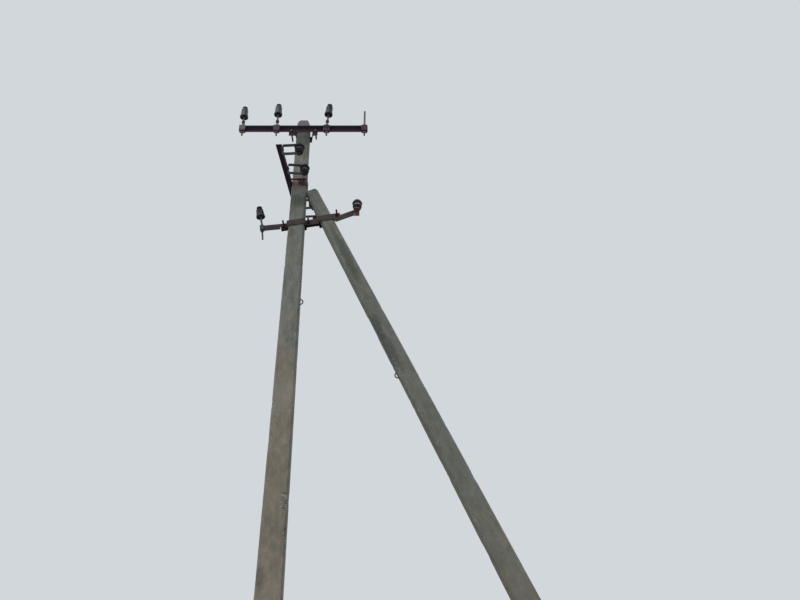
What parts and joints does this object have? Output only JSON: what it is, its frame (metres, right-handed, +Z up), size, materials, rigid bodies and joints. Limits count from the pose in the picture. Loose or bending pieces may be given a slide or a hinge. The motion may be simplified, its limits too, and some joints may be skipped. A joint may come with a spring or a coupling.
{
  "type": "concrete utility pole with a leaning strut",
  "caption": "Concrete line pole propped by a leaning strut, with a steel crossarm, a branch arm, pins, spool insulators and a strut bracket.",
  "frame": {"origin": "centre of the main pole's foot at ground level", "axes": "+X along the crossarm towards the strut, +Y along the main line, away from the crossarm's side, +Z up"},
  "size_m": [4.0028, 1.2562, 7.7044],
  "materials": {
    "concrete": "weathered, stained",
    "painted_steel": "old maroon paint with rust",
    "dark_steel": "dark, rusted",
    "galvanised_steel": "dull galvanised",
    "rusty_steel": "rusted",
    "dark_glaze": "glossy",
    "grey_glaze": "glossy, dusty"
  },
  "bodies": {
    "root": {"main_pole": "concrete", "strut_post": "concrete", "pole_lifting_loop": "rusty_steel", "strut_lifting_loop": "rusty_steel", "top_crossarm": "painted_steel", "top_clamp_strap": "painted_steel", "top_clamp_bolts": "dark_steel", "arm_pin_1": "galvanised_steel", "arm_pin_2": "galvanised_steel", "arm_pin_3": "galvanised_steel", "arm_pin_4": "galvanised_steel", "pin_saddle_1": "galvanised_steel", "pin_saddle_2": "galvanised_steel", "pin_saddle_3": "galvanised_steel", "pin_saddle_4": "painted_steel", "pin_insulator_1": "grey_glaze", "pin_insulator_2": "grey_glaze", "pin_insulator_3": "grey_glaze", "branch_arm": "painted_steel", "branch_clamp_strap": "painted_steel", "branch_clamp_bolts": "dark_steel", "branch_clamp_packer": "rusty_steel", "shackle_iron_1": "dark_steel", "shackle_iron_2": "dark_steel", "shackle_iron_3": "dark_steel", "shackle_iron_4": "dark_steel", "spool_1": "dark_glaze", "spool_2": "dark_glaze", "spool_3": "dark_glaze", "spool_4": "dark_glaze", "spool_bolt_1": "dark_steel", "spool_bolt_2": "dark_steel", "spool_bolt_3": "dark_steel", "spool_bolt_4": "dark_steel", "bracket_front_bar": "painted_steel", "bracket_rear_bar": "painted_steel", "bracket_bolts": "dark_steel", "left_arm": "painted_steel", "lower_pin": "galvanised_steel", "lower_pin_seat": "galvanised_steel", "lower_insulator": "grey_glaze", "extension_arm": "painted_steel", "end_cleat": "rusty_steel", "end_spool": "dark_glaze", "end_spool_bolt": "dark_steel"}
  },
  "joints": []
}
